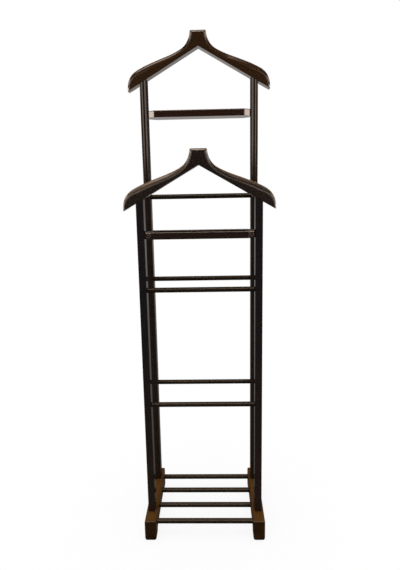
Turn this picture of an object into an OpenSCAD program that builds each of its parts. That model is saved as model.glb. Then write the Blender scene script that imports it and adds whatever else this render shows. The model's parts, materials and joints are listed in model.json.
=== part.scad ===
// Double clothes valet: two hanger frames, one behind the other, on a pair of wooden runners.
// X runs across the stand, Y from the front to the back and Z up, in millimetres.
// The origin is on the floor, at the middle of the stand.

/* [Frames] */
// Height of the rear hanger's neck above the floor
rear_height = 1420; // [1360:2:1480]
// Height of the front hanger's neck above the floor
front_height = 1094; // [1070:2:1130]
// Distance between the centre lines of the left and the right posts
post_spread = 312; // [300:2:324]
// Distance from the front frame to the rear frame
frame_spacing = 169.5; // [158:0.5:180]
// Distance from the front ends of the runners to the front posts
front_overhang = 45.5; // [40:0.5:50]
// Width of a post, across the stand
post_width = 20; // [18:1:23]
// Depth of a post, front to back
post_depth = 38; // [35:1:42]
// Height of the crown on the front and the back of a post
post_crown = 2; // [1:0.2:2.6]
// Radius on the four long edges of a post
post_round = 3.5; // [2.5:0.5:5]

/* [Runners] */
// Length of a runner
runner_length = 286; // [276:2:310]
// Width of a runner
runner_width = 33; // [30:1:36]
// Height of a runner, without its pads
runner_height = 56; // [53:1:64]
// Length of the foot at each end of a runner
foot_length = 38; // [34:1:40]
// Height of the raised underside between the feet
recess_rise = 12; // [9:1:14]
// Radius where the raised underside meets the feet
recess_round = 8; // [6:1:9]
// Radius on the long top edges of a runner
runner_round = 6; // [4:0.5:8]
// Radius on the top edge of a runner's ends
end_round = 5; // [3:0.5:7]
// Radius on the upright edges of a runner's ends
corner_round = 5; // [3:0.5:7]
// Thickness of the pad under each foot
pad_thickness = 4; // [3:0.5:6]
// Distance from a pad's edge to the edge of its foot
pad_inset = 1.2; // [0.6:0.2:3]

/* [Shoe rack] */
// Diameter of a shoe bar
shoe_bar_d = 15; // [13:0.5:17]
// Distance between neighbouring shoe bars
shoe_bar_spacing = 76.5; // [72:0.5:80]
// Height of the shoe bars' centre line above the floor
shoe_bar_height = 42.5; // [36:0.5:46]
// Depth of the sockets that hold the shoe bars
shoe_bar_socket = 11; // [9:0.5:12]

/* [Trouser bars] */
// Diameter of a trouser bar
trouser_bar_d = 14; // [12:0.5:16]
// Height of the upper bar of the rear frame
upper_bar_height = 968; // [940:2:1000]
// Height of the bar that both frames have at the middle
middle_bar_height = 722; // [700:2:740]
// Height of the lowest bar of both frames
lower_bar_height = 388.5; // [370:0.5:410]
// Depth of the sockets that hold the trouser bars
trouser_bar_socket = 9; // [7:0.5:11]

/* [Hangers] */
// Width of a hanger over its tips
hanger_width = 400; // [388:1:420]
// Thickness of a hanger, front to back
hanger_depth = 38; // [35:1:42]
// Width of the neck at its top
neck_width = 45; // [40:1:50]
// Height of the neck, from its top to the point of the underside
neck_height = 42; // [39:1:46]
// Slope of the underside
hanger_slope = 29.9; // [28:0.1:32]
// Height of an arm where it leaves the neck
root_height = 23.5; // [22:0.5:26]
// Height of an arm at its straight middle
middle_height = 26; // [24:0.5:28]
// Height of an arm at the shoulder
shoulder_height = 40.5; // [38:0.5:43]
// Radius on the front and back edges of the neck
neck_round = 7.5; // [6:0.5:9]
// Radius on the front and back edges of the shoulders
shoulder_round = 12; // [10:0.5:13]
// Radius on the front and back edges of the tips
tip_round = 6; // [4:0.5:8]
// Radius on the edges of the underside
lower_round = 1.5; // [1:0.25:2.5]
// Size of the bevel on the neck's upper corners
neck_bevel = 2.5; // [2:0.25:3.5]

/* [Trays] */
// Distance from the top of the neck down to the tray's rim
tray_drop = 211.5; // [200:0.5:225]
// Depth of a tray, front to back
tray_depth = 66; // [60:1:72]
// Height of a tray's rim
tray_height = 19; // [17:0.5:24]
// Thickness of the rim
tray_wall = 6; // [5:0.5:7.5]
// Length of the tray's slanted corners, along the tray
tray_corner_run = 16; // [12:1:20]
// Length of the tray's slanted corners, across the tray
tray_corner_depth = 20; // [14:1:22]
// Radius on the rim's upper edges
rim_round = 2; // [1:0.25:2.5]
// Thickness of the tray's floor
tray_floor = 5; // [4:0.5:7]
// Width of the ledge under which the floor is glued
tray_ledge = 3; // [2:0.25:3.5]

/* [Joinery] */
// Gap all round a bar, dowel or screw in its hole
fit_gap = 0.1; // [0.05:0.01:0.15]
// Diameter of the dowels in the hangers
dowel_d = 8; // [6:0.5:10]
// Length of the dowels between posts and hangers
dowel_length = 36; // [30:1:40]
// Length of the dowels between the two arms of a hanger
neck_dowel_length = 28; // [24:1:30]
// Distance between the two dowels in a neck
neck_dowel_pitch = 17; // [15:0.5:19]
// Diameter of the pins that hold the trays
tray_pin_d = 6; // [5:0.25:7]
// Length of the tray pins
tray_pin_length = 14; // [12:0.5:15]
// Distance between the two pins at each end of a tray
tray_pin_pitch = 13; // [11:0.5:15]
// Diameter of the screws between runners and posts
screw_d = 6; // [5:0.25:7]
// Length of the screws' shanks
screw_length = 74; // [66:1:80]
// Diameter of the screws' heads
screw_head_d = 10.5; // [9.5:0.25:13]
// Height of the screws' heads
screw_head_height = 4; // [3:0.25:5]
// Depth to which the screws' heads are sunk
screw_sink = 1.5; // [1:0.25:3]

/* [Hidden] */

// Colours of the stained wood, seen in shade and in light, and of the small parts
dark_wood = [0.17, 0.11, 0.075];
mid_wood = [0.25, 0.165, 0.105];
bar_wood = [0.21, 0.14, 0.09];
plain_wood = [0.72, 0.56, 0.38];
pad_black = [0.05, 0.05, 0.05];
screw_steel = [0.62, 0.62, 0.6];

// Cuts run past the faces that they open by this much
over = 1;

post_x = post_spread / 2;
front_y = front_overhang + post_depth / 2 - runner_length / 2;
rear_y = front_y + frame_spacing;
runner_top = pad_thickness + runner_height;
recess_length = runner_length - 2 * foot_length;
recess_top = pad_thickness + recess_rise;
post_gap = post_spread - post_width;
runner_gap = post_spread - runner_width;
shoe_bar_count = 4;

// A rectangle round the origin whose corners are arcs
module rounded_rect(w, d, r) {
    square([w - 2 * r, d], center = true);
    square([w, d - 2 * r], center = true);
    for (x = [-1, 1], y = [-1, 1])
        translate([x * (w / 2 - r), y * (d / 2 - r)])
            circle(r, $fn = 48);
}

// A round bar across the stand
module cross_bar(length, d, y, z) {
    translate([-length / 2, y, z])
        rotate([0, 90, 0])
            cylinder(h = length, d = d, $fn = 64);
}

// ---- Runners, pads and shoe bars ----

// The runner's outline from the side, y to the right and z up
module runner_side() {
    half = runner_length / 2;
    difference() {
        union() {
            translate([-half, 0])
                square([runner_length, runner_height - end_round]);
            translate([end_round - half, 0])
                square([runner_length - 2 * end_round, runner_height]);
            for (y = [-1, 1])
                translate([y * (half - end_round), runner_height - end_round])
                    circle(end_round, $fn = 64);
        }
        translate([-recess_length / 2, -over])
            square([recess_length, recess_rise - recess_round + over]);
        translate([recess_round - recess_length / 2, -over])
            square([recess_length - 2 * recess_round, recess_rise + over]);
        for (y = [-1, 1])
            translate([y * (recess_length / 2 - recess_round), recess_rise - recess_round])
                circle(recess_round, $fn = 64);
    }
}

// The runner's section, x to the right and z up: rounded at the top, square at the foot
module runner_section() {
    translate([-runner_width / 2, 0])
        square([runner_width, runner_height - runner_round]);
    translate([runner_round - runner_width / 2, 0])
        square([runner_width - 2 * runner_round, runner_height]);
    for (x = [-1, 1])
        translate([x * (runner_width / 2 - runner_round), runner_height - runner_round])
            circle(runner_round, $fn = 48);
}

module runner_body() {
    intersection() {
        translate([-runner_width / 2 - over, 0, 0])
            rotate([90, 0, 90])
                linear_extrude(runner_width + 2 * over)
                    runner_side();
        translate([0, runner_length / 2 + over, 0])
            rotate([90, 0, 0])
                linear_extrude(runner_length + 2 * over)
                    runner_section();
        translate([0, 0, -over])
            linear_extrude(runner_height + 2 * over)
                rounded_rect(runner_width, runner_length, corner_round);
    }
}

// side is -1 for the left runner and 1 for the right one
module runner(side) {
    color(mid_wood)
        difference() {
            translate([side * post_x, 0, pad_thickness])
                runner_body();
            for (i = [1:shoe_bar_count])
                cross_bar(runner_gap + 2 * shoe_bar_socket, shoe_bar_d + 2 * fit_gap,
                    shoe_bar_y(i), shoe_bar_height);
            for (y = [front_y, rear_y])
                translate([side * post_x, y, 0]) {
                    translate([0, 0, pad_thickness - over])
                        cylinder(h = screw_seat - pad_thickness + over,
                            d = screw_head_d + 2 * fit_gap, $fn = 64);
                    cylinder(h = runner_top + over, d = screw_d + 2 * fit_gap, $fn = 48);
                }
        }
}

module pad(x_side, y_side) {
    color(pad_black)
        translate([x_side * post_x, y_side * (runner_length - foot_length) / 2, 0])
            linear_extrude(pad_thickness)
                rounded_rect(runner_width - 2 * pad_inset, foot_length - 2 * pad_inset, corner_round);
}

function shoe_bar_y(i) = (i - (shoe_bar_count + 1) / 2) * shoe_bar_spacing;

module shoe_bar(i) {
    color(bar_wood)
        cross_bar(runner_gap + 2 * shoe_bar_socket, shoe_bar_d, shoe_bar_y(i), shoe_bar_height);
}

// ---- Posts ----

// The crown's radius, from its height across the post's width
crown_radius = post_width * post_width / (8 * post_crown) + post_crown / 2;

module post_section() {
    intersection() {
        rounded_rect(post_width, post_depth, post_round);
        translate([0, crown_radius - post_depth / 2])
            circle(crown_radius, $fn = 160);
        translate([0, post_depth / 2 - crown_radius])
            circle(crown_radius, $fn = 160);
    }
}

// The heights at which trouser bars enter the posts of each frame
front_bars = [lower_bar_height, middle_bar_height];
rear_bars = [lower_bar_height, middle_bar_height, upper_bar_height];

// side is -1 for left and 1 for right; top is the height of the hanger on the post
module post(side, y, top, bars) {
    color(dark_wood)
        difference() {
            translate([side * post_x, y, runner_top])
                linear_extrude(top - neck_height - runner_top)
                    post_section();
            under_hanger_cut(side, y, top);
            for (z = bars)
                cross_bar(post_gap + 2 * trouser_bar_socket, trouser_bar_d + 2 * fit_gap, y, z);
            tray_pin_holes(y, top);
            translate([side * post_x, y, dowel_z(top)])
                cylinder(h = dowel_length, d = dowel_d + 2 * fit_gap, $fn = 48);
            translate([side * post_x, y, runner_top - over])
                cylinder(h = screw_tip - runner_top + over + fit_gap,
                    d = screw_d + 2 * fit_gap, $fn = 48);
        }
}

// Everything above the slope on which the hanger's arm rests
module under_hanger_cut(side, y, top) {
    reach = hanger_width;
    translate([0, y, top - neck_height])
        rotate([0, side * hanger_slope, 0])
            translate([-reach / 2 + side * reach / 2, -post_depth, 0])
                cube([reach, 2 * post_depth, reach / 2]);
}

// ---- Trouser bars ----

module trouser_bar(y, z) {
    color(bar_wood)
        cross_bar(post_gap + 2 * trouser_bar_socket, trouser_bar_d, y, z);
}

// ---- Hangers ----

// Height of the underside at x, from the top of the neck
function under_z(x) = -neck_height - x * tan(hanger_slope);

function bezier(p, t) =
    pow(1 - t, 3) * p[0] + 3 * t * pow(1 - t, 2) * p[1]
    + 3 * t * t * (1 - t) * p[2] + pow(t, 3) * p[3];

// The upright end of a tip is a little higher than the roundings on its edges need
tip_spare = 1.5;
tip_end = (tip_round * sin(hanger_slope) + lower_round) / cos(hanger_slope) + tip_spare;

// Lengths along X: from the neck's side to the arm's root, from there to its straight middle,
// from the shoulder to the tip, and from the tip to the point where its rounding has faded out
root_run = 18;
middle_run = 42;
shoulder_run = 33.5;
tip_run = 12;

// The points where the curves of an arm's upper edge join, x from the middle and z from the top
neck_side = [neck_width / 2, -neck_bevel];
root_x = neck_width / 2 + root_run;
middle_x = root_x + middle_run;
shoulder_x = hanger_width / 2 - shoulder_run;
arm_root = [root_x, under_z(root_x) + root_height];
arm_middle = [middle_x, under_z(middle_x) + middle_height];
arm_shoulder = [shoulder_x, under_z(shoulder_x) + shoulder_height];
arm_tip = [hanger_width / 2, under_z(hanger_width / 2) + tip_end];

// Each curve leaves its joint in the direction in which the last one arrived
neck_pull = [1, -16.5];
root_way = [1, -0.93];
middle_way = [1, -0.375];
shoulder_way = [1, -0.525];
tip_pull = [0, 31];

// How far each curve keeps to that direction, before the joint and after it
root_reach = [9.5, 6.5];
middle_reach = [17, 28];
shoulder_reach = [25, 17];

neck_curve = [neck_side, neck_side + neck_pull, arm_root - root_reach[0] * root_way, arm_root];
root_curve = [arm_root, arm_root + root_reach[1] * root_way,
    arm_middle - middle_reach[0] * middle_way, arm_middle];
arm_curve = [arm_middle, arm_middle + middle_reach[1] * middle_way,
    arm_shoulder - shoulder_reach[0] * shoulder_way, arm_shoulder];
tip_curve = [arm_shoulder, arm_shoulder + shoulder_reach[1] * shoulder_way,
    arm_tip + tip_pull, arm_tip];

// The number of edges that stand for each curve
neck_steps = 7;
root_steps = 4;
arm_steps = 5;
tip_steps = 9;

// The inset of the bevel's edge that keeps its two corners apart on the front face
bevel_spare = 1;
bevel_round = (2 * neck_round - neck_bevel + bevel_spare) / sqrt(2);

// The rounding grows from the neck's to the shoulder's, and has reached this at the root
root_round = shoulder_round - 3;

// An outline point is [x, z, radius before it, radius after it, radius that sets its depth]
function smooth_points(p, steps, r0, r1) = [
    for (i = [1:steps])
        let (t = i / steps, q = bezier(p, t), r = r0 + (r1 - r0) * t)
            [q[0], q[1], r, r, r]
];

arm_outline = concat(
    [[0, 0, 0, neck_round, neck_round]],
    [[neck_width / 2 - neck_bevel, 0, neck_round, bevel_round, neck_round]],
    [[neck_side[0], neck_side[1], bevel_round, neck_round, neck_round]],
    smooth_points(neck_curve, neck_steps, neck_round, root_round),
    smooth_points(root_curve, root_steps, root_round, shoulder_round),
    smooth_points(arm_curve, arm_steps, shoulder_round, shoulder_round),
    smooth_points(tip_curve, tip_steps, shoulder_round, tip_round),
    [[arm_tip[0], under_z(arm_tip[0]), tip_round, lower_round, tip_round]],
    [[arm_tip[0] - tip_run, under_z(arm_tip[0] - tip_run), lower_round, lower_round, lower_round]],
    [[0, -neck_height, lower_round, 0, lower_round]]
);
arm_count = len(arm_outline);

// The outward normal of the edge from point i to the next one, on a clockwise outline
function edge_normal(i) =
    let (
        a = arm_outline[(i + arm_count) % arm_count],
        b = arm_outline[(i + 1) % arm_count],
        d = [b[0] - a[0], b[1] - a[1]]
    )
        [-d[1], d[0]] / norm(d);

// A corner that turns by more than this is sharp: its two edges have radii of their own
sharp_turn = 0.3;

// How far point i moves between the arm's outline and its front face
function inset_move(i) =
    let (
        p = arm_outline[i],
        m = edge_normal(i - 1),
        n = edge_normal(i),
        turn = m[0] * n[1] - m[1] * n[0]
    )
        abs(turn) > sharp_turn
            ? [n[1] * p[2] - m[1] * p[3], m[0] * p[3] - n[0] * p[2]] / -turn
            : -p[4] * (m + n) / (1 + m * n);

// One ring of points: face is -1 at the front and 1 at the back, a is 0 on the flat face
function arm_ring(face, a) = [
    for (i = [0:arm_count - 1])
        let (p = arm_outline[i], v = inset_move(i) * (1 - sin(a)))
            [p[0] + v[0], face * (hanger_depth / 2 - p[4] * (1 - cos(a))), p[1] + v[1]]
];

round_steps = 4;
arm_rings = concat(
    [for (k = [0:round_steps]) arm_ring(-1, 90 * k / round_steps)],
    [for (k = [round_steps:-1:0]) arm_ring(1, 90 * k / round_steps)]
);
ring_count = len(arm_rings);

// A flat face is two fans of triangles, round the underside's inner end and round its outer end,
// which meet at the arm's middle
fan_inner = arm_count - 1;
fan_outer = arm_count - 2;
fan_meet = 2 + neck_steps + root_steps;

function fan(hub, first, last) = [for (i = [first:last - 1]) [hub, i, i + 1]];

flat_face = concat(
    fan(fan_inner, 0, fan_meet),
    [[fan_inner, fan_meet, fan_outer]],
    fan(fan_outer, fan_meet, fan_outer - 1)
);

arm_points = [for (ring = arm_rings, p = ring) p];
arm_faces = concat(
    flat_face,
    [
        for (t = flat_face)
            let (b = (ring_count - 1) * arm_count)
                [b + t[2], b + t[1], b + t[0]]
    ],
    [
        for (k = [0:ring_count - 2], i = [0:arm_count - 1])
            let (j = (i + 1) % arm_count, a = k * arm_count, b = a + arm_count)
                [a + i, b + i, b + j]
    ],
    [
        for (k = [0:ring_count - 2], i = [0:arm_count - 1])
            let (j = (i + 1) % arm_count, a = k * arm_count, b = a + arm_count)
                [a + i, b + j, a + j]
    ]
);

// The height at which a dowel starts, so that it is half in the post and half in the arm
function dowel_z(top) = top + under_z(post_x) - dowel_length / 2;

// The two dowels across the joint in a hanger's neck
module neck_dowels(y, top, gap) {
    for (row = [-1, 1])
        cross_bar(neck_dowel_length + 2 * gap, dowel_d + 2 * gap,
            y, top - neck_height / 2 + row * neck_dowel_pitch / 2);
}

module hanger_arm(side, y, top) {
    color(dark_wood)
        difference() {
            translate([0, y, top])
                mirror([side < 0 ? 1 : 0, 0, 0])
                    polyhedron(arm_points, arm_faces, convexity = 6);
            translate([side * post_x, y, dowel_z(top)])
                cylinder(h = dowel_length + fit_gap, d = dowel_d + 2 * fit_gap, $fn = 48);
            neck_dowels(y, top, fit_gap);
        }
}

// ---- Trays ----

tray_length = post_gap;

// The tray's outline, drawn in by the inset: a rectangle whose corners are cut off at a slant
function tray_points(inset) =
    let (
        x = tray_length / 2,
        y = tray_depth / 2,
        slant = norm([tray_corner_run, tray_corner_depth]),
        k = x * tray_corner_depth + y * tray_corner_run
            - tray_corner_run * tray_corner_depth - inset * slant,
        corner_x = (k - (y - inset) * tray_corner_run) / tray_corner_depth,
        corner_y = (k - (x - inset) * tray_corner_depth) / tray_corner_run
    )
        [
            [x - inset, -corner_y], [x - inset, corner_y], [corner_x, y - inset],
            [-corner_x, y - inset], [inset - x, corner_y], [inset - x, -corner_y],
            [-corner_x, inset - y], [corner_x, inset - y]
        ];

// The rim's section, as inset from the outline and height: round at the top, with a rebate
// below its ledge for the floor
rim_steps = 3;
rim_section = concat(
    [[0, 0]],
    [
        for (i = [0:rim_steps])
            let (a = 90 * i / rim_steps)
                [rim_round * (1 - cos(a)), tray_height - rim_round * (1 - sin(a))]
    ],
    [
        for (i = [0:rim_steps])
            let (a = 90 * i / rim_steps)
                [tray_wall - rim_round * (1 - sin(a)), tray_height - rim_round * (1 - cos(a))]
    ],
    [[tray_wall, tray_floor], [tray_wall - tray_ledge, tray_floor], [tray_wall - tray_ledge, 0]]
);

// The section runs round the outline, mitred at its corners
module rim_body() {
    rows = len(rim_section);
    corners = len(tray_points(0));
    points = [for (q = rim_section, p = tray_points(q[0])) [p[0], p[1], q[1]]];
    faces = [
        for (k = [0:rows - 1], i = [0:corners - 1])
            let (a = k * corners, b = ((k + 1) % rows) * corners, j = (i + 1) % corners)
                [a + i, b + i, b + j, a + j]
    ];
    polyhedron(points, faces, convexity = 4);
}

module tray_rim(y, top) {
    color(dark_wood)
        difference() {
            translate([0, y, top - tray_drop - tray_height])
                rim_body();
            tray_pin_holes(y, top);
        }
}

// The floor fills the rebate, with a gap all round
module tray_floor_panel(y, top) {
    color(mid_wood)
        translate([0, y, top - tray_drop - tray_height])
            linear_extrude(tray_floor)
                polygon(tray_points(tray_wall - tray_ledge + fit_gap));
}

// The pins lie above the floor; they end inside the posts and just short of the rim's inner face
pin_z = -tray_drop - (tray_height - tray_floor) / 2;
pin_skin = 1.5;
pin_in_rim = tray_wall - pin_skin;

module tray_pin_set(y, top, gap) {
    for (side = [-1, 1], row = [-1, 1])
        translate([
            side * (tray_length / 2 - pin_in_rim + tray_pin_length / 2),
            y + row * tray_pin_pitch / 2,
            top + pin_z
        ])
            rotate([0, 90, 0])
                cylinder(h = tray_pin_length, d = tray_pin_d + 2 * gap, center = true, $fn = 48);
}

module tray_pin_holes(y, top) {
    tray_pin_set(y, top, fit_gap);
}

// ---- Fixings ----

// The screws' heads bear on this height, and their shanks end at the other
screw_seat = recess_top + screw_sink + screw_head_height;
screw_tip = screw_seat + screw_length;

// Size and depth of the six-sided recess in a screw's head
key_d = 4;
key_depth = 2.5;

module post_screws() {
    color(screw_steel)
        for (side = [-1, 1], y = [front_y, rear_y])
            translate([side * post_x, y, screw_seat]) {
                cylinder(h = screw_length, d = screw_d, $fn = 48);
                difference() {
                    translate([0, 0, -screw_head_height])
                        cylinder(h = screw_head_height, d = screw_head_d, $fn = 64);
                    translate([0, 0, -screw_head_height - over])
                        cylinder(h = over + key_depth, d = key_d, $fn = 6);
                }
            }
}

module hanger_dowels() {
    color(plain_wood)
        for (frame = [[front_y, front_height], [rear_y, rear_height]]) {
            neck_dowels(frame[0], frame[1], 0);
            for (side = [-1, 1])
                translate([side * post_x, frame[0], dowel_z(frame[1])])
                    cylinder(h = dowel_length, d = dowel_d, $fn = 48);
        }
}

module tray_pins() {
    color(plain_wood) {
        tray_pin_set(front_y, front_height, 0);
        tray_pin_set(rear_y, rear_height, 0);
    }
}

// ---- One call for each piece ----

runner(-1);  // left_runner
runner(1);  // right_runner
pad(-1, -1);  // front_left_pad
pad(1, -1);  // front_right_pad
pad(-1, 1);  // rear_left_pad
pad(1, 1);  // rear_right_pad
shoe_bar(1);  // shoe_bar_1
shoe_bar(2);  // shoe_bar_2
shoe_bar(3);  // shoe_bar_3
shoe_bar(4);  // shoe_bar_4
post(-1, front_y, front_height, front_bars);  // front_left_post
post(1, front_y, front_height, front_bars);  // front_right_post
post(-1, rear_y, rear_height, rear_bars);  // rear_left_post
post(1, rear_y, rear_height, rear_bars);  // rear_right_post
hanger_arm(-1, front_y, front_height);  // front_hanger_left_arm
hanger_arm(1, front_y, front_height);  // front_hanger_right_arm
hanger_arm(-1, rear_y, rear_height);  // rear_hanger_left_arm
hanger_arm(1, rear_y, rear_height);  // rear_hanger_right_arm
tray_rim(front_y, front_height);  // front_tray_rim
tray_floor_panel(front_y, front_height);  // front_tray_floor
tray_rim(rear_y, rear_height);  // rear_tray_rim
tray_floor_panel(rear_y, rear_height);  // rear_tray_floor
trouser_bar(front_y, middle_bar_height);  // front_upper_bar
trouser_bar(front_y, lower_bar_height);  // front_lower_bar
trouser_bar(rear_y, upper_bar_height);  // rear_upper_bar
trouser_bar(rear_y, middle_bar_height);  // rear_middle_bar
trouser_bar(rear_y, lower_bar_height);  // rear_lower_bar
post_screws();
hanger_dowels();
tray_pins();
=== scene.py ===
# Double clothes valet, dressed for rendering. Metres, in the frame of the CAD model:
# X across the stand, Y from the front to the back, Z up, the origin on the floor.
import json
import math

import bmesh
import bpy
from mathutils import Matrix, Vector


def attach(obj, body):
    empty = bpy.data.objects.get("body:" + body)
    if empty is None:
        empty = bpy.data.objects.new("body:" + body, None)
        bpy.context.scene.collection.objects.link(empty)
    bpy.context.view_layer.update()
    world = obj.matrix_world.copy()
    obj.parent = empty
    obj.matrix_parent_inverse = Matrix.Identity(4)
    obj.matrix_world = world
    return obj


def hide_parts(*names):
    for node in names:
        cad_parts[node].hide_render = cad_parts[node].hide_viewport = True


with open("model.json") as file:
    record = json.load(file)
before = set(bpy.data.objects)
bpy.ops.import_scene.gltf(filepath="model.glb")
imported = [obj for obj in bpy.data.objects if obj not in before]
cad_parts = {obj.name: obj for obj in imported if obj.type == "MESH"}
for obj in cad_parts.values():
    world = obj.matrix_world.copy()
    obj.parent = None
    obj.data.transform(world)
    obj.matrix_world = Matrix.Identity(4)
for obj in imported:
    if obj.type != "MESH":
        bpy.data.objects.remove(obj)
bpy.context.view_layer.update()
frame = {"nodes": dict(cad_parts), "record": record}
scene = bpy.context.scene
slots = {s["node"]: s["material_slot"] for s in frame["record"]["subparts"]}
MM = 0.001

# ---- Shader helpers ----

# The depth in metres that a bump of strength 1 and height 1 stands for
BUMP_DEPTH = 0.0001


class Nodes:
    """A short way to write a node tree: each call makes a node and links or sets its inputs."""

    def __init__(self, tree):
        self.tree = tree
        tree.nodes.clear()

    def add(self, kind, inputs=None, **settings):
        node = self.tree.nodes.new(kind)
        for key, value in settings.items():
            setattr(node, key, value)
        for key, value in (inputs or {}).items():
            socket = node.inputs[key]
            if isinstance(value, bpy.types.NodeSocket):
                self.tree.links.new(value, socket)
            else:
                socket.default_value = value
        return node

    def math(self, operation, a, b=0.0, c=0.0, clamp=False):
        return self.add("ShaderNodeMath", {0: a, 1: b, 2: c}, operation=operation,
                        use_clamp=clamp).outputs[0]

    def product(self, *values):
        result = values[0]
        for value in values[1:]:
            result = self.math("MULTIPLY", result, value)
        return result

    def total(self, *values):
        result = values[0]
        for value in values[1:]:
            result = self.math("ADD", result, value)
        return result

    def scale(self, vector, factor):
        return self.add("ShaderNodeVectorMath", {"Vector": vector, "Scale": factor},
                        operation="SCALE").outputs[0]

    def plus(self, a, b):
        return self.add("ShaderNodeVectorMath", {0: a, 1: b}, operation="ADD").outputs[0]

    def axis(self, vector, name):
        return self.add("ShaderNodeSeparateXYZ", {0: vector}).outputs[name]

    def mix(self, factor, a, b, blend="MIX"):
        return self.add("ShaderNodeMix", {0: factor, 6: a, 7: b}, data_type="RGBA",
                        blend_type=blend).outputs[2]

    def multiply(self, a, b):
        return self.mix(1.0, a, b, "MULTIPLY")

    def ramp(self, value, stops):
        """A colour for each place along the value, from pairs of place and colour."""
        node = self.add("ShaderNodeValToRGB", {0: value})
        elements = node.color_ramp.elements
        while len(elements) < len(stops):
            elements.new(0.5)
        for element, (place, colour) in zip(elements, stops):
            element.position = place
            element.color = colour if len(colour) == 4 else (*colour, 1)
        return node.outputs[0]

    def fade(self, value, start, end, before, after):
        """A straight change from before, up to start, to after, past end."""
        return self.ramp(value, [(start, grey(before)), (end, grey(after))])

    def step(self, value, start, end):
        """0 below start, 1 past end and a smooth rise between; end may be the lower one."""
        flip = end < start
        low, high = min(start, end), max(start, end)
        return self.add("ShaderNodeMapRange", {"Value": value, "From Min": low, "From Max": high,
                                               "To Min": float(flip), "To Max": float(not flip)},
                        interpolation_type="SMOOTHSTEP").outputs[0]

    def window(self, value, start, full, fading, end):
        """1 between full and fading, 0 outside start and end, and a smooth change between."""
        return self.product(self.step(value, start, full), self.step(value, end, fading))

    def place(self, kind="Object"):
        return self.add("ShaderNodeTexCoord").outputs[kind]

    def stretch(self, vector, scale):
        return self.add("ShaderNodeMapping", {"Vector": vector, "Scale": scale}).outputs[0]

    def noise(self, vector, scale, detail, roughness=0.5, distortion=0.0):
        return self.add("ShaderNodeTexNoise", {"Vector": vector, "Scale": scale, "Detail": detail,
                                               "Roughness": roughness, "Distortion": distortion})

    def bump(self, height, strength):
        return self.add("ShaderNodeBump", {"Height": height, "Strength": strength,
                                           "Distance": BUMP_DEPTH}).outputs[0]

    def surface(self, base, rough, normal, finish=None):
        """Ends the tree with a Principled shader; finish sets more of its inputs."""
        inputs = {"Base Color": base, "Roughness": rough, "Normal": normal, **(finish or {})}
        shader = self.add("ShaderNodeBsdfPrincipled", inputs)
        self.add("ShaderNodeOutputMaterial", {"Surface": shader.outputs[0]})


def grey(value):
    return (value, value, value, 1)


def tint(colour, factor):
    return tuple(c * factor for c in colour) + (1,)


def new_material(name):
    mat = bpy.data.materials.new(name)
    mat.use_nodes = True
    return mat, Nodes(mat.node_tree)


# ---- Materials ----

# How often each pattern of the wood repeats in a metre, and how it is stretched along the grain
WAVER_SCALE, RING_SCALE, FIBRE_SCALE, PORE_SCALE = 14.0, 70.0, 900.0, 620.0
SMUDGE_SCALE, FLOW_SCALE = 26.0, 60.0
COARSE_STRETCH, FINE_STRETCH = (1, 1, 0.07), (1, 1, 0.025)
RING_DRIFT = 0.05

# Factors on the wood's colour, and the most that pores and the edges' wear with its painted
# highlight take of it
DARK_RING, LIGHT_RING, DARK_FIBRE, DARK_PORE, EDGE_WEAR_AND_GLINT = 0.82, 1.192, 0.796, 0.45, 1.9
PORE_SHARE, WEAR_AND_GLINT_SHARE = 0.4, 0.25

# Where a change sets in and where it is full: the painted shade of upper parts by height in
# metres, the end grain by how much a face looks along the grain, and the thin lacquer by how much
# along X
UPPER_SHADE_RANGE, END_RANGE, SIDE_RANGE = (0.1, 0.75), (0.12, 0.6), (0.85, 0.97)

# Roughness under the lacquer: the least, and what smudges and pores add
LEAST_ROUGH, SMUDGE_ROUGH, PORE_ROUGH = 0.3, 0.16, 0.2
LACQUER_IOR = 1.5

# Heights of the lacquer's waves, the fibres and the pores in the bump, and its strength
FLOW_RELIEF, FIBRE_RELIEF, PORE_RELIEF, WOOD_RELIEF = 0.6, 0.1, -0.12, 0.35

# How the patterns' values turn into shares of a colour: the values where the share's change
# starts and ends, and the share before and after it
FIBRE_FADE, PORE_FADE = (0.35, 0.62, 0.55, 0), (0.35, 0.6, 0.25, 1)
EDGE_FADE, SMUDGE_FADE = (0.515, 0.6, 0, 1), (0.42, 0.68, 0, 1)
# Values at which the rings are darkest, plain and lightest, and how a pore fades from its middle
RING_VALUES, PORE_SHAPE = (0.3, 0.5, 0.7), ((0.0, 1), (0.2, 0.6), (0.34, 0))

RUBBER_CLEAN, RUBBER_DUSTY = (0.0015, 0.0013, 0.001), (0.004, 0.0035, 0.003)
RUBBER_SHINE, RUBBER_ROUGH, DUST_ROUGH, PIT_RELIEF = 0.2, 0.62, 0.25, 0.4
DUST_SCALE, PIT_SCALE = 160.0, 1600.0

ZINC_DULL, ZINC_BRIGHT = (0.5, 0.5, 0.49), (0.66, 0.65, 0.62)
ZINC_ROUGH, BLOOM_ROUGH, LINE_RELIEF = 0.22, 0.25, 0.2
BLOOM_SCALE, LINE_SCALE, LINE_STRETCH = 300.0, 120.0, (1, 1, 30)

BEECH_DARK, BEECH_LIGHT = (0.4, 0.24, 0.12), (0.56, 0.38, 0.21)
BEECH_ROUGH, STREAK_ROUGH, STREAK_RELIEF = 0.6, 0.2, 0.3
STREAK_SCALE, STREAK_STRETCH = 700.0, (0.1, 1, 0.2)


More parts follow.
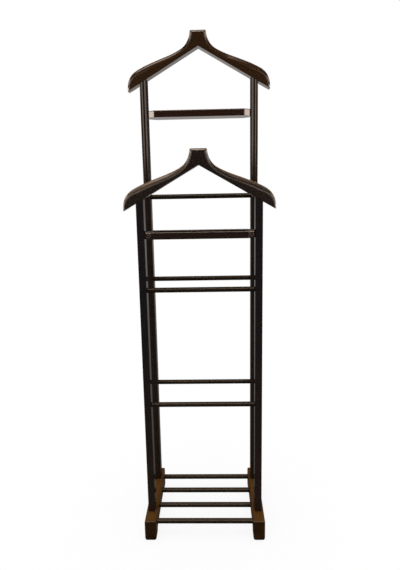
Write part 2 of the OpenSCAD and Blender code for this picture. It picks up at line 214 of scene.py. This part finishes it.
def wood(name, colour, turn, shift, gloss, coat=1.0, side_coat=1.0, end_shade=1.0,
         painted_sheen=None, sheen_range=None, upper=None):
    """Stained wood under lacquer, with its grain along the turned Z axis and its pattern shifted.
    gloss is the lacquer's roughness and coat its weight, and side_coat is the share of it that
    is left on faces that look along X. end_shade darkens the end grain, partly for the stain it
    soaks up and partly as painted shade on the ends and their rounded edges. rubbed is a paler
    colour painted on faces that look up, a painted sheen that stands in for the broad highlight of
    the lamps on them, and sheen_range is how far up they look where it sets in and where it is
    full.
    upper is a factor for each colour channel that sets in with height, which paints shade on upper
    parts."""
    mat, n = new_material(name)
    place = n.place()
    grain = n.add("ShaderNodeMapping", {"Vector": place, "Location": shift, "Rotation": turn})
    coarse = n.stretch(grain.outputs[0], COARSE_STRETCH)
    fine = n.stretch(grain.outputs[0], FINE_STRETCH)

    # Growth rings: wide bands that waver along the piece
    waver = n.noise(coarse, WAVER_SCALE, detail=3.0).outputs["Color"]
    ring_place = n.add("ShaderNodeVectorMath", {0: coarse, 1: waver, 2: n.scale(waver, RING_DRIFT)},
                       operation="MULTIPLY_ADD").outputs[0]
    rings = n.noise(ring_place, RING_SCALE, detail=4.0, roughness=0.62, distortion=0.4).outputs[0]

    # Fibres and pores: fine dark dashes along the grain
    fibres = n.noise(fine, FIBRE_SCALE, detail=3.0, roughness=0.7).outputs[0]
    pores = n.add("ShaderNodeTexVoronoi", {"Vector": fine, "Scale": PORE_SCALE, "Randomness": 1.0},
                  feature="F1").outputs["Distance"]
    pores = n.product(n.ramp(pores, [(distance, grey(share)) for distance, share in PORE_SHAPE]),
                      n.fade(rings, *PORE_FADE))

    shades = [tint(colour, factor) for factor in (DARK_RING, 1.0, LIGHT_RING)]
    base = n.ramp(rings, list(zip(RING_VALUES, shades)))
    base = n.mix(n.fade(fibres, *FIBRE_FADE), base, tint(colour, DARK_FIBRE))
    base = n.mix(n.product(pores, PORE_SHARE), base, tint(colour, DARK_PORE))
    # Painted shade: upper darkens and blues the colour as height grows
    if upper:
        height = n.step(n.axis(place, "Z"), *UPPER_SHADE_RANGE)
        base = n.mix(height, base, n.multiply(base, (*upper, 1)))

    # End grain soaks up more stain, and end_shade also paints shade on the ends and their rounded
    # edges. The lacquer is thin on some sides
    normal = n.place("Normal")
    if end_shade < 1:
        along = n.add("ShaderNodeMapping", {"Vector": normal, "Rotation": turn},
                      vector_type="VECTOR").outputs[0]
        end = n.step(n.math("ABSOLUTE", n.axis(along, "Z")), *END_RANGE)
        base = n.mix(end, base, n.multiply(base, grey(end_shade)))
    # Painted sheen: faces that look up turn to a paler colour, in place of the lamps' highlight
    if painted_sheen:
        base = n.mix(n.step(n.axis(normal, "Z"), *sheen_range), base, (*painted_sheen, 1))
    if side_coat < 1:
        side = n.step(n.math("ABSOLUTE", n.axis(normal, "X")), *SIDE_RANGE)
        coat = n.math("MULTIPLY_ADD", side, coat * (side_coat - 1), coat)

    # Wear and painted highlight: convex edges are paler in patches, partly where the lacquer is
    # thinner from handling and partly as a painted highlight of their gloss
    smudge = n.noise(place, SMUDGE_SCALE, detail=5.0, roughness=0.65).outputs[0]
    edge = n.add("ShaderNodeNewGeometry").outputs["Pointiness"]
    wear_and_glint = n.product(n.fade(edge, *EDGE_FADE), n.fade(smudge, *SMUDGE_FADE))
    base = n.mix(n.product(wear_and_glint, WEAR_AND_GLINT_SHARE), base, tint(colour, EDGE_WEAR_AND_GLINT))

    rough = n.math("MULTIPLY_ADD", smudge, SMUDGE_ROUGH, LEAST_ROUGH)
    rough = n.math("MULTIPLY_ADD", pores, PORE_ROUGH, rough, clamp=True)

    # Pores print through the lacquer, and the lacquer itself is not quite flat
    flow = n.noise(coarse, FLOW_SCALE, detail=2.0, roughness=0.4).outputs[0]
    relief = n.math("MULTIPLY_ADD", flow, FLOW_RELIEF, n.product(fibres, FIBRE_RELIEF))
    relief = n.math("MULTIPLY_ADD", pores, PORE_RELIEF, relief)
    bump = n.bump(relief, WOOD_RELIEF)
    n.surface(base, rough, bump, {"Coat Weight": coat, "Coat Roughness": gloss,
                                  "Coat IOR": LACQUER_IOR, "Coat Normal": bump,
                                  "Specular IOR Level": 0.0})
    return mat


def rubber(name):
    """Black rubber with dust on it and fine pits."""
    mat, n = new_material(name)
    place = n.place()
    dust = n.noise(place, DUST_SCALE, detail=5.0, roughness=0.6).outputs[0]
    pits = n.noise(place, PIT_SCALE, detail=2.0).outputs[0]
    base = n.ramp(dust, [(0.4, RUBBER_CLEAN), (0.75, RUBBER_DUSTY)])
    rough = n.math("MULTIPLY_ADD", dust, DUST_ROUGH, RUBBER_ROUGH)
    n.surface(base, rough, n.bump(pits, PIT_RELIEF), {"Specular IOR Level": RUBBER_SHINE})
    return mat


def steel(name):
    """Zinc-plated steel with a dull bloom, and fine lines from turning."""
    mat, n = new_material(name)
    place = n.place()
    lines = n.noise(n.stretch(place, LINE_STRETCH), LINE_SCALE, detail=3.0).outputs[0]
    bloom = n.noise(place, BLOOM_SCALE, detail=4.0).outputs[0]
    base = n.ramp(bloom, [(0.35, ZINC_DULL), (0.7, ZINC_BRIGHT)])
    rough = n.math("MULTIPLY_ADD", bloom, BLOOM_ROUGH, ZINC_ROUGH)
    n.surface(base, rough, n.bump(lines, LINE_RELIEF), {"Metallic": 1.0})
    return mat


def raw_wood(name):
    """Beech without a finish, with streaks along its grain."""
    mat, n = new_material(name)
    grain = n.stretch(n.place(), STREAK_STRETCH)
    streaks = n.noise(grain, STREAK_SCALE, detail=4.0).outputs[0]
    base = n.ramp(streaks, [(0.3, BEECH_DARK), (0.7, BEECH_LIGHT)])
    rough = n.math("MULTIPLY_ADD", streaks, STREAK_ROUGH, BEECH_ROUGH)
    n.surface(base, rough, n.bump(streaks, STREAK_RELIEF))
    return mat


# ---- The CAD nodes' looks ----

# Turns that lay the wood's Z axis along one of the stand's axes
ALONG_X = (0, math.pi / 2, 0)
ALONG_Y = (math.pi / 2, 0, 0)
ALONG_Z = (0, 0, 0)

# Painted light: the rear hanger and tray are lighter and redder than the front ones, lit and shaded
# copies of one wood for the higher rear frame catching more light
REAR_HANGER_LIT = (0.064, 0.0265, 0.0085)
FRONT_HANGER_SHADED = (0.021, 0.0115, 0.0072)
# Painted sheen: the paler brown of the front arms' upward faces, standing in for the lamps'
# highlight
PAINTED_SHEEN_TOP = (0.17, 0.106, 0.064)
REAR_POST = (0.026, 0.013, 0.007)
FRONT_POST = (0.026, 0.013, 0.0075)
# Painted shade: factors that make the front posts darker and bluer towards the top
FRONT_POST_UPPER_SHADE = (0.5, 0.75, 1.5)
FRONT_TRAY_SHADED = (0.030, 0.014, 0.008)
REAR_TRAY_LIT = (0.048, 0.019, 0.010)
RUNNER = (0.080, 0.034, 0.0074)
BAR = (0.030, 0.0185, 0.0100)

# For each slot: front colour, rear colour, way of the grain, and the rest of the wood's settings.
# For the hangers and trays the two colours are painted light, shaded and lit copies of one wood.
# The hangers' line is for the CAD's arms, whose place finer ones take
STYLE = {
    # The runners' end_shade is partly painted shade on their front ends and rounded edges
    "runner_wood": (RUNNER, RUNNER, ALONG_Y, {"gloss": 0.24, "coat": 0.25, "end_shade": 0.5}),
    "post_wood": (FRONT_POST, REAR_POST, ALONG_Z, {"gloss": 0.1, "side_coat": 0.4}),
    "hanger_wood": (FRONT_HANGER_SHADED, REAR_HANGER_LIT, ALONG_X, {"gloss": 0.12}),
    "tray_wood": (FRONT_TRAY_SHADED, REAR_TRAY_LIT, ALONG_X, {"gloss": 0.12}),
    "tray_floor_wood": (FRONT_TRAY_SHADED, REAR_TRAY_LIT, ALONG_X, {"gloss": 0.2}),
    "bar_wood": (BAR, BAR, ALONG_X, {"gloss": 0.2, "coat": 0.22}),
}

# How far the pattern moves along each axis for each one in a name's number, and how far at most
SEED_STEPS, SEED_REACH = (0.137, 0.071, 0.193), 3


def seed(name):
    """A fixed place in the wood for each piece, so that no two show the same grain."""
    number = sum((i + 3) * ord(letter) for i, letter in enumerate(name))
    return tuple((number * step) % SEED_REACH for step in SEED_STEPS)


def node_wood(node, name):
    front_colour, rear_colour, turn, finish = STYLE[slots[node]]
    rear = node.startswith("rear")
    # The front posts get painted shade that darkens and blues them towards the top
    upper = FRONT_POST_UPPER_SHADE if slots[node] == "post_wood" and not rear else None
    return wood(name, rear_colour if rear else front_colour, turn, seed(node), upper=upper,
                **finish)


def dress(obj, mat):
    obj.data.materials.clear()
    obj.data.materials.append(mat)


for node, obj in frame["nodes"].items():
    if slots[node] in STYLE:
        dress(obj, node_wood(node, node + "_wood"))
    elif slots[node] == "pad_rubber":
        dress(obj, rubber(node + "_rubber"))
    elif slots[node] == "screw_steel":
        dress(obj, steel("screw_steel"))
    else:
        dress(obj, raw_wood(node + "_wood"))

# ---- Finer pieces ----

# The places and the tops of the two frames, in millimetres
FRAMES = (("front", -78.5, 1094.0), ("rear", 91.0, 1420.0))
SHARP_ANGLE = math.radians(28)
NORMAL_WEIGHT = 100


def new_object(name, bm):
    mesh = bpy.data.meshes.new(name)
    bm.to_mesh(mesh)
    bm.free()
    obj = bpy.data.objects.new(name, mesh)
    scene.collection.objects.link(obj)
    return obj


def smooth_piece(name, bm):
    """Turns the mesh into an object whose edges are sharp only above the sharp angle."""
    bmesh.ops.recalc_face_normals(bm, faces=bm.faces)
    for face in bm.faces:
        face.smooth = True
    for edge in bm.edges:
        if len(edge.link_faces) == 2 and edge.calc_face_angle() > SHARP_ANGLE:
            edge.smooth = False
    obj = new_object(name, bm)
    weighted = obj.modifiers.new("normals", "WEIGHTED_NORMAL")
    weighted.keep_sharp = True
    weighted.weight = NORMAL_WEIGHT
    return obj


def join_rings(bm, first, second):
    """Faces between two rings that have the same number of points."""
    for i in range(len(first)):
        j = (i + 1) % len(first)
        bm.faces.new((first[i], first[j], second[j], second[i]))


# ---- Hanger arms: the CAD's outline, with smooth curves and round edges. Millimetres ----

NECK_WIDTH, NECK_HEIGHT, NECK_BEVEL = 45.0, 42.0, 2.5
HANGER_WIDTH, HANGER_DEPTH = 400.0, 38.0
SLOPE = math.radians(29.9)

# The upper outline's curves meet at the root, the middle and the shoulder: how far out these lie
# from the one before or from the end, how high over the underside, and how much they fall there
ROOT_RUN, MIDDLE_RUN, SHOULDER_RUN = 18.0, 42.0, 33.5
ROOT_HEIGHT, MIDDLE_HEIGHT, SHOULDER_HEIGHT = 23.5, 26.0, 40.5
ROOT_FALL, MIDDLE_FALL, SHOULDER_FALL = 0.93, 0.375, 0.525
# How long the curves keep these directions, before and after each meeting
NECK_LEAN, NECK_KEEP, TIP_KEEP = 1.0, 16.5, 31.0
ROOT_KEEP, MIDDLE_KEEP, SHOULDER_KEEP = (9.5, 6.5), (17.0, 28.0), (25.0, 17.0)

# How deep the edges are rounded, and how many times that the rounding reaches down the face
NECK_ROUND, ROOT_ROUND, SHOULDER_ROUND, TIP_ROUND, LOWER_ROUND = 7.5, 9.0, 12.0, 6.0, 1.5
ROOT_REACH, SHOULDER_REACH = 1.15, 1.35
# Length of the underside in which the tip's rounding runs out
TIP_FADE = 12.0
# Small lengths to spare, so that roundings that meet at a corner don't cross
BEVEL_SPARE, TIP_SPARE = 1.0, 1.5
BEVEL_ROUND = (2 * NECK_ROUND - NECK_BEVEL + BEVEL_SPARE) / math.sqrt(2)
TIP_END = (TIP_ROUND * math.sin(SLOPE) + LOWER_ROUND) / math.cos(SLOPE) + TIP_SPARE
# Sine of the turn above which a corner is drawn in by both of its radii
SHARP_TURN = 0.3
CURVE_STEPS, ROUND_STEPS = 6, 10

# The lacquer's roughness on the arms, and how far up a face of a front arm looks where its
# painted sheen, which stands in for the lamps' highlight, sets in and where it is full
FRONT_GLOSS, REAR_GLOSS = 0.2, 0.1
SHEEN_LEFT, SHEEN_RIGHT = (0.0, 0.7), (0.25, 0.95)


def under(x):
    return -NECK_HEIGHT - x * math.tan(SLOPE)


def arm_outline():
    """Points (x, z, radius before, radius after, radius that sets the depth), clockwise from the
    middle of the neck's top. The upper edge's section is an ellipse: its rounding reaches
    further down the face than it is deep."""
    def over_underside(x, height):
        return Vector((x, under(x) + height))

    neck = Vector((NECK_WIDTH / 2, -NECK_BEVEL))
    root = over_underside(neck.x + ROOT_RUN, ROOT_HEIGHT)
    middle = over_underside(root.x + MIDDLE_RUN, MIDDLE_HEIGHT)
    shoulder = over_underside(HANGER_WIDTH / 2 - SHOULDER_RUN, SHOULDER_HEIGHT)
    tip = over_underside(HANGER_WIDTH / 2, TIP_END)
    root_way, middle_way, shoulder_way = (Vector((1, -fall)) for fall
                                          in (ROOT_FALL, MIDDLE_FALL, SHOULDER_FALL))
    # Each curve's control points, share of the steps, depths and reaches at its start and end
    curves = [
        ((neck, neck + Vector((NECK_LEAN, -NECK_KEEP)), root - ROOT_KEEP[0] * root_way, root),
         2, NECK_ROUND, ROOT_ROUND, 1, ROOT_REACH),
        ((root, root + ROOT_KEEP[1] * root_way, middle - MIDDLE_KEEP[0] * middle_way, middle),
         1, ROOT_ROUND, SHOULDER_ROUND, ROOT_REACH, SHOULDER_REACH),
        ((middle, middle + MIDDLE_KEEP[1] * middle_way,
          shoulder - SHOULDER_KEEP[0] * shoulder_way, shoulder),
         2, SHOULDER_ROUND, SHOULDER_ROUND, SHOULDER_REACH, SHOULDER_REACH),
        ((shoulder, shoulder + SHOULDER_KEEP[1] * shoulder_way, tip + Vector((0, TIP_KEEP)), tip),
         3, SHOULDER_ROUND, TIP_ROUND, SHOULDER_REACH, 1),
    ]
    points = [(0, 0, 0, NECK_ROUND, NECK_ROUND),
              (NECK_WIDTH / 2 - NECK_BEVEL, 0, NECK_ROUND, BEVEL_ROUND, NECK_ROUND),
              (neck.x, neck.y, BEVEL_ROUND, NECK_ROUND, NECK_ROUND)]
    for p, share, depth0, depth1, reach0, reach1 in curves:
        count = share * CURVE_STEPS
        for i in range(1, count + 1):
            t = i / count
            q = ((1 - t) ** 3 * p[0] + 3 * t * (1 - t) ** 2 * p[1]
                 + 3 * t * t * (1 - t) * p[2] + t ** 3 * p[3])
            depth = depth0 + (depth1 - depth0) * t
            across = depth * (reach0 + (reach1 - reach0) * t)
            points.append((q.x, q.y, across, across, depth))
    fade_end = tip.x - TIP_FADE
    points.append((tip.x, under(tip.x), TIP_ROUND, LOWER_ROUND, TIP_ROUND))
    points.append((fade_end, under(fade_end), LOWER_ROUND, LOWER_ROUND, LOWER_ROUND))
    points.append((0, -NECK_HEIGHT, LOWER_ROUND, 0, LOWER_ROUND))
    return points


def inward_moves(outline):
    """How far and which way each point of the outline is drawn in on the arm's flat face."""
    def normal(i):
        a, b = outline[i % len(outline)], outline[(i + 1) % len(outline)]
        d = Vector((b[0] - a[0], b[1] - a[1])).normalized()
        return Vector((-d.y, d.x))

    moves = []
    for i, p in enumerate(outline):
        m, n = normal(i - 1), normal(i)
        turn = m.x * n.y - m.y * n.x
        if abs(turn) > SHARP_TURN:
            moves.append(Vector((n.y * p[2] - m.y * p[3], m.x * p[3] - n.x * p[2])) / -turn)
        else:
            moves.append(-p[2] * (m + n) / (1 + m.dot(n)))
    return moves


def make_arm(name, side, y, top):
    """One arm: rings of points from its front face, round the edges, to its rear face."""
    outline = arm_outline()
    moves = inward_moves(outline)
    bm = bmesh.new()
    rings = []
    for face, order in ((-1, range(ROUND_STEPS + 1)), (1, range(ROUND_STEPS, -1, -1))):
        for k in order:
            angle = math.pi / 2 * k / ROUND_STEPS
            ring = []
            for p, move in zip(outline, moves):
                v = move * (1 - math.sin(angle))
                depth = face * (HANGER_DEPTH / 2 - p[4] * (1 - math.cos(angle)))
                ring.append(bm.verts.new(((p[0] + v.x) * side * MM, (y + depth) * MM,
                                          (top + p[1] + v.y) * MM)))
            rings.append(ring)
    for first, second in zip(rings, rings[1:]):
        join_rings(bm, first, second)
    bm.faces.new(rings[0])
    bm.faces.new(rings[-1][::-1])
    return smooth_piece(name, bm)


def arm_wood(node, side, name):
    """The wood of a finer arm, with its grain along the arm's underside."""
    turn = (0, math.pi / 2 - side * SLOPE, 0)
    # The rear arms take the lit copy of the hanger's colour, and the front ones the shaded copy
    if node.startswith("rear"):
        return wood(name, REAR_HANGER_LIT, turn, seed(node), gloss=REAR_GLOSS)
    # The front arms also get a painted sheen on their upward faces
    return wood(name, FRONT_HANGER_SHADED, turn, seed(node), gloss=FRONT_GLOSS, painted_sheen=PAINTED_SHEEN_TOP,
                sheen_range=SHEEN_LEFT if side < 0 else SHEEN_RIGHT)


for frame_name, y, top in FRAMES:
    for side_name, side in (("left", -1), ("right", 1)):
        node = f"{frame_name}_hanger_{side_name}_arm"
        piece = make_arm(node + "_shaped", side, y, top)
        dress(piece, arm_wood(node, side, node + "_shaped_wood"))
        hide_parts(node)
        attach(piece, "root")

# ---- Trays: the CAD's trays with finer rims, and corners cut off further along the front.
# Millimetres ----

TRAY_LENGTH, TRAY_DEPTH, TRAY_HEIGHT = 292.0, 66.0, 19.0
# From the top of the frame down to the top of its tray
TRAY_DROP = 211.5
# Thickness of wall and floor, width of the ledge under the floor, and the gap round the floor
TRAY_WALL, TRAY_FLOOR, TRAY_LEDGE, FLOOR_GAP = 6.0, 5.0, 3.0, 0.1
# What the slanted corners take off the length and the depth, and how their edges are eased
CORNER_RUN, CORNER_DEPTH, CORNER_EASE = 19.5, 17.5, 1.6
# Radii of the rim's upper and lower edges
RIM_ROUND, RIM_FOOT = 2.4, 0.6
EASE_STEPS, RIM_STEPS = 4, 6


def tray_outline(inset):
    """The tray's outline, drawn in by the inset: a rectangle with slanted, eased corners."""
    slant = math.hypot(CORNER_RUN, CORNER_DEPTH)
    reach = (TRAY_LENGTH / 2 * CORNER_DEPTH + TRAY_DEPTH / 2 * CORNER_RUN
             - CORNER_RUN * CORNER_DEPTH - inset * slant)
    x, y = TRAY_LENGTH / 2 - inset, TRAY_DEPTH / 2 - inset
    slant_x = (reach - y * CORNER_RUN) / CORNER_DEPTH
    slant_y = (reach - x * CORNER_DEPTH) / CORNER_RUN
    corners = [Vector(c) for c in ((slant_x, -y), (x, -slant_y), (x, slant_y), (slant_x, y),
                                   (-slant_x, y), (-x, slant_y), (-x, -slant_y), (-slant_x, -y))]
    points = []
    for i, corner in enumerate(corners):
        before = corner + (corners[i - 1] - corner).normalized() * CORNER_EASE
        after = corner + (corners[(i + 1) % len(corners)] - corner).normalized() * CORNER_EASE
        for k in range(EASE_STEPS + 1):
            t = k / EASE_STEPS
            points.append((1 - t) ** 2 * before + 2 * t * (1 - t) * corner + t * t * after)
    return points


def rim_section():
    """The rim's section once round, as insets from the outline and heights."""
    arcs = [(1 - math.sin(a), 1 - math.cos(a)) for a
            in (math.pi / 2 * i / RIM_STEPS for i in range(RIM_STEPS + 1))]
    inner = TRAY_WALL - TRAY_LEDGE
    return ([(RIM_FOOT * s, RIM_FOOT * c) for s, c in arcs]
            + [(RIM_ROUND * c, TRAY_HEIGHT - RIM_ROUND * s) for s, c in arcs]
            + [(TRAY_WALL - RIM_ROUND * s, TRAY_HEIGHT - RIM_ROUND * c) for s, c in arcs]
            + [(TRAY_WALL, TRAY_FLOOR), (inner, TRAY_FLOOR), (inner, 0)])


def tray_ring(bm, inset, height, y, top):
    base = top - TRAY_DROP - TRAY_HEIGHT
    return [bm.verts.new((p.x * MM, (y + p.y) * MM, (base + height) * MM))
            for p in tray_outline(inset)]


def make_rim(name, y, top):
    bm = bmesh.new()
    rings = [tray_ring(bm, inset, height, y, top) for inset, height in rim_section()]
    for k, ring in enumerate(rings):
        join_rings(bm, ring, rings[(k + 1) % len(rings)])
    return smooth_piece(name, bm)


def make_tray_floor(name, y, top):
    bm = bmesh.new()
    inset = TRAY_WALL - TRAY_LEDGE + FLOOR_GAP
    lower, upper = (tray_ring(bm, inset, height, y, top) for height in (0, TRAY_FLOOR))
    join_rings(bm, lower, upper)
    bm.faces.new(lower[::-1])
    bm.faces.new(upper)
    return smooth_piece(name, bm)


for frame_name, y, top in FRAMES:
    for part_name, make in (("tray_rim", make_rim), ("tray_floor", make_tray_floor)):
        node = f"{frame_name}_{part_name}"
        piece = make(node + "_shaped", y, top)
        dress(piece, node_wood(node, node + "_shaped_wood"))
        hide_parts(node)
        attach(piece, "root")

# ---- Floor ----

# Distances from the stand at which the floor takes its whole shadow and none of it
FLOOR_NEAR, FLOOR_FAR = 0.25, 0.9
# How bright a white sheet on the open floor is, and the share of the floor's white near the
# stand that is such light, so that a shadow can take it away
FLOOR_LIGHT, FLOOR_SHADE = 1.25, 0.12
# The floor's grey in the light that it sends back to the stand
FLOOR_GREY = 0.2
FLOOR_HALF_SIZE, FLOOR_DROP = 12.0, 0.0002


def floor_material():
    """A pale floor. The camera sees it white, and near the stand it takes the stand's shadow."""
    mat, n = new_material("floor_pale")
    path = n.add("ShaderNodeLightPath")
    distance = n.add("ShaderNodeVectorMath", {0: n.place()}, operation="LENGTH").outputs["Value"]
    share = n.product(n.step(distance, FLOOR_FAR, FLOOR_NEAR), FLOOR_SHADE)
    albedo = n.mix(n.product(share, 1 / FLOOR_LIGHT), grey(0), grey(1))
    lit = n.add("ShaderNodeBsdfDiffuse", {"Color": albedo})
    glow = n.add("ShaderNodeEmission", {"Color": grey(1), "Strength": n.math("SUBTRACT", 1, share)})
    seen = n.add("ShaderNodeAddShader", {0: lit.outputs[0], 1: glow.outputs[0]})
    plain = n.add("ShaderNodeBsdfDiffuse", {"Color": grey(FLOOR_GREY)})
    both = n.add("ShaderNodeMixShader", {0: path.outputs["Is Camera Ray"],
                                         1: plain.outputs[0], 2: seen.outputs[0]})
    n.add("ShaderNodeOutputMaterial", {"Surface": both.outputs[0]})
    return mat


def make_floor():
    bm = bmesh.new()
    for x, y in ((-1, -1), (1, -1), (1, 1), (-1, 1)):
        bm.verts.new((x * FLOOR_HALF_SIZE, y * FLOOR_HALF_SIZE, -FLOOR_DROP))
    bm.faces.new(bm.verts)
    obj = new_object("floor", bm)
    dress(obj, floor_material())
    obj.visible_glossy = False


# ---- Light ----

# What the lacquer mirrors. Each patch of light has soft edges, given as where it sets in, is
# full, begins to fade and ends, and a level. Angles are in degrees: aside from straight ahead
# of the stand to either side, rise over the horizon, and over from straight ahead up and back.
# Across is the part of the direction that lies along X; the spot's is where it ends and where
# it is full, to either side.
BOX_ASIDE, BOX_RISE, BOX_LEVEL = (9, 12, 24, 27), (0.5, 3.5, 18, 28), 2.8
WALL_ASIDE, WALL_RISE, WALL_LEVEL = (78, 90, 115, 128), (-3.5, -0.5, 6, 12), 5.0
STRIP_ASIDE, STRIP_RISE, STRIP_LEVEL = (76, 82, 96, 102), (-3, -1.6, 11.5, 13.5), 6.4
OVERHEAD_OVER, OVERHEAD_ACROSS, OVERHEAD_LEVEL = (56, 63, 92, 100), (-0.55, -0.4, 0.2, 0.34), 3.8
SPOT_OVER, SPOT_ACROSS, SPOT_LEVEL = (42, 46, 58, 63), (0.24, 0.16), 11.0
SIDE_ASIDE = (34, 42, 120, 130)
FRONT_TIP_RISE, FRONT_TIP_LEVEL = (-2.3, -1.6, 1.2, 3.0), 5.5
REAR_TIP_RISE, REAR_TIP_LEVEL = (8.8, 9.8, 12.5, 13.5), 8.0
HIGH_SIDE_RISE, HIGH_SIDE_LEVEL = (17, 20, 28, 36), 4.0
LAMP_TINT = (1.0, 0.86, 0.74)
# The boxes stand to either side of a line that is turned this far from straight ahead
BOX_OFFSET = math.radians(1.5)

# The white sweep behind and below: levels for places from straight down, 0, to straight up, 1
SWEEP = ((0.2, 0.1), (0.275, 0.24), (0.39, 0.5), (0.45, 0.66), (0.485, 0.45), (0.51, 0.15),
         (0.56, 0.03))
SWEEP_ASIDE = (112, 132)
PAPER_TINT = (1.0, 0.96, 0.93)

# The dim room, and what the paper in front of the stand adds to it below the horizon
ROOM_LEVEL = 0.035
PAPER_ASIDE, PAPER_RISE, PAPER_LEVEL = (132, 112), (1, -2), 0.05

# What lights the wood: a soft light from above, which grows with this power of the direction's
# height, and the light from all round
ABOVE_LEVEL, ABOVE_POWER, ROUND_LEVEL = 3.3, 4, 0.15


def studio_gloss(n, way):
    """What the lacquer mirrors: softboxes left and right of the camera, pale walls and strips at
    the sides, a box and a small spot overhead, narrow lights that reach only the hangers' tips,
    and a white sweep behind and below."""
    x, y, z = n.add("ShaderNodeSeparateXYZ", {0: way}).outputs
    ahead = n.product(y, -1)
    turn = n.math("ARCTAN2", x, ahead)
    aside = n.product(n.math("ABSOLUTE", turn), math.degrees(1))
    box_aside = n.product(n.math("ABSOLUTE", n.math("ADD", turn, BOX_OFFSET)), math.degrees(1))
    rise = n.product(n.math("ARCSINE", z), math.degrees(1))
    over = n.product(n.math("ARCTAN2", z, ahead), math.degrees(1))

    sides = n.window(aside, *SIDE_ASIDE)
    lamps = n.total(
        n.product(n.window(box_aside, *BOX_ASIDE), n.window(rise, *BOX_RISE), BOX_LEVEL),
        n.product(n.window(aside, *WALL_ASIDE), n.window(rise, *WALL_RISE), WALL_LEVEL),
        n.product(n.window(aside, *STRIP_ASIDE), n.window(rise, *STRIP_RISE), STRIP_LEVEL),
        n.product(n.window(over, *OVERHEAD_OVER), n.window(x, *OVERHEAD_ACROSS), OVERHEAD_LEVEL),
        n.product(n.window(over, *SPOT_OVER), n.step(n.math("ABSOLUTE", x), *SPOT_ACROSS),
                  SPOT_LEVEL),
        n.product(sides, n.window(rise, *FRONT_TIP_RISE), FRONT_TIP_LEVEL),
        n.product(sides, n.window(rise, *REAR_TIP_RISE), REAR_TIP_LEVEL),
        n.product(sides, n.window(rise, *HIGH_SIDE_RISE), HIGH_SIDE_LEVEL))
    sweep = n.ramp(n.math("MULTIPLY_ADD", z, 0.5, 0.5),
                   [(place, tint(PAPER_TINT, level)) for place, level in SWEEP])
    behind = n.scale(sweep, n.step(aside, *SWEEP_ASIDE))
    paper = n.product(n.step(aside, *PAPER_ASIDE), n.step(rise, *PAPER_RISE), PAPER_LEVEL)
    return n.plus(n.plus(n.scale(LAMP_TINT, lamps), behind), n.total(paper, ROOM_LEVEL))


def studio_light(n, way):
    """What the stand is lit by: a wide soft light from above, and a dim room."""
    above = n.math("POWER", n.math("MAXIMUM", n.axis(way, "Z"), 0), ABOVE_POWER)
    return n.math("MULTIPLY_ADD", above, ABOVE_LEVEL, ROUND_LEVEL)


def make_world():
    """White to the camera, and a studio to the stand's gloss and to its matt surfaces."""
    world = bpy.data.worlds.new("studio")
    scene.world = world
    world.use_nodes = True
    world.cycles.sampling_method = "NONE"
    n = Nodes(world.node_tree)
    path = n.add("ShaderNodeLightPath")
    way = n.place("Generated")
    light = n.mix(path.outputs["Is Glossy Ray"], studio_light(n, way), studio_gloss(n, way))
    shown = n.mix(path.outputs["Is Camera Ray"], light, grey(1.0))
    back = n.add("ShaderNodeBackground", {"Color": shown, "Strength": 1.0})
    n.add("ShaderNodeOutputWorld", {"Surface": back.outputs[0]})


make_floor()
make_world()

# ---- Camera: the photograph's viewpoint ----

CAMERA_PLACE = Vector((0.0378, -1.4498, 1.0094))
# Radians to the right, downwards, and round the line of sight
YAW, PITCH, ROLL = -0.0292, 0.1975, -0.0190
# Focal length for a sensor of this width, in millimetres
LENS, SENSOR_WIDTH = 32.54, 36.0
CLIP_START, CLIP_END = 0.01, 100.0

level_right = Vector((math.cos(YAW), -math.sin(YAW), 0))
ahead = Vector((math.sin(YAW), math.cos(YAW), 0))
up = Vector((0, 0, 1))
view_way = math.cos(PITCH) * ahead - math.sin(PITCH) * up
view_up = math.sin(PITCH) * ahead + math.cos(PITCH) * up
rolled_right = level_right * math.cos(ROLL) + view_up * math.sin(ROLL)
rolled_up = view_up * math.cos(ROLL) - level_right * math.sin(ROLL)
camera_data = bpy.data.cameras.new("camera")
camera_data.lens = LENS
camera_data.sensor_width = SENSOR_WIDTH
camera_data.sensor_fit = "AUTO"
camera_data.clip_start, camera_data.clip_end = CLIP_START, CLIP_END
camera = bpy.data.objects.new("camera", camera_data)
scene.collection.objects.link(camera)
rotation = Matrix((rolled_right, rolled_up, -view_way)).transposed()
camera.matrix_world = Matrix.Translation(CAMERA_PLACE) @ rotation.to_4x4()
scene.camera = camera

scene.view_settings.view_transform = "Standard"
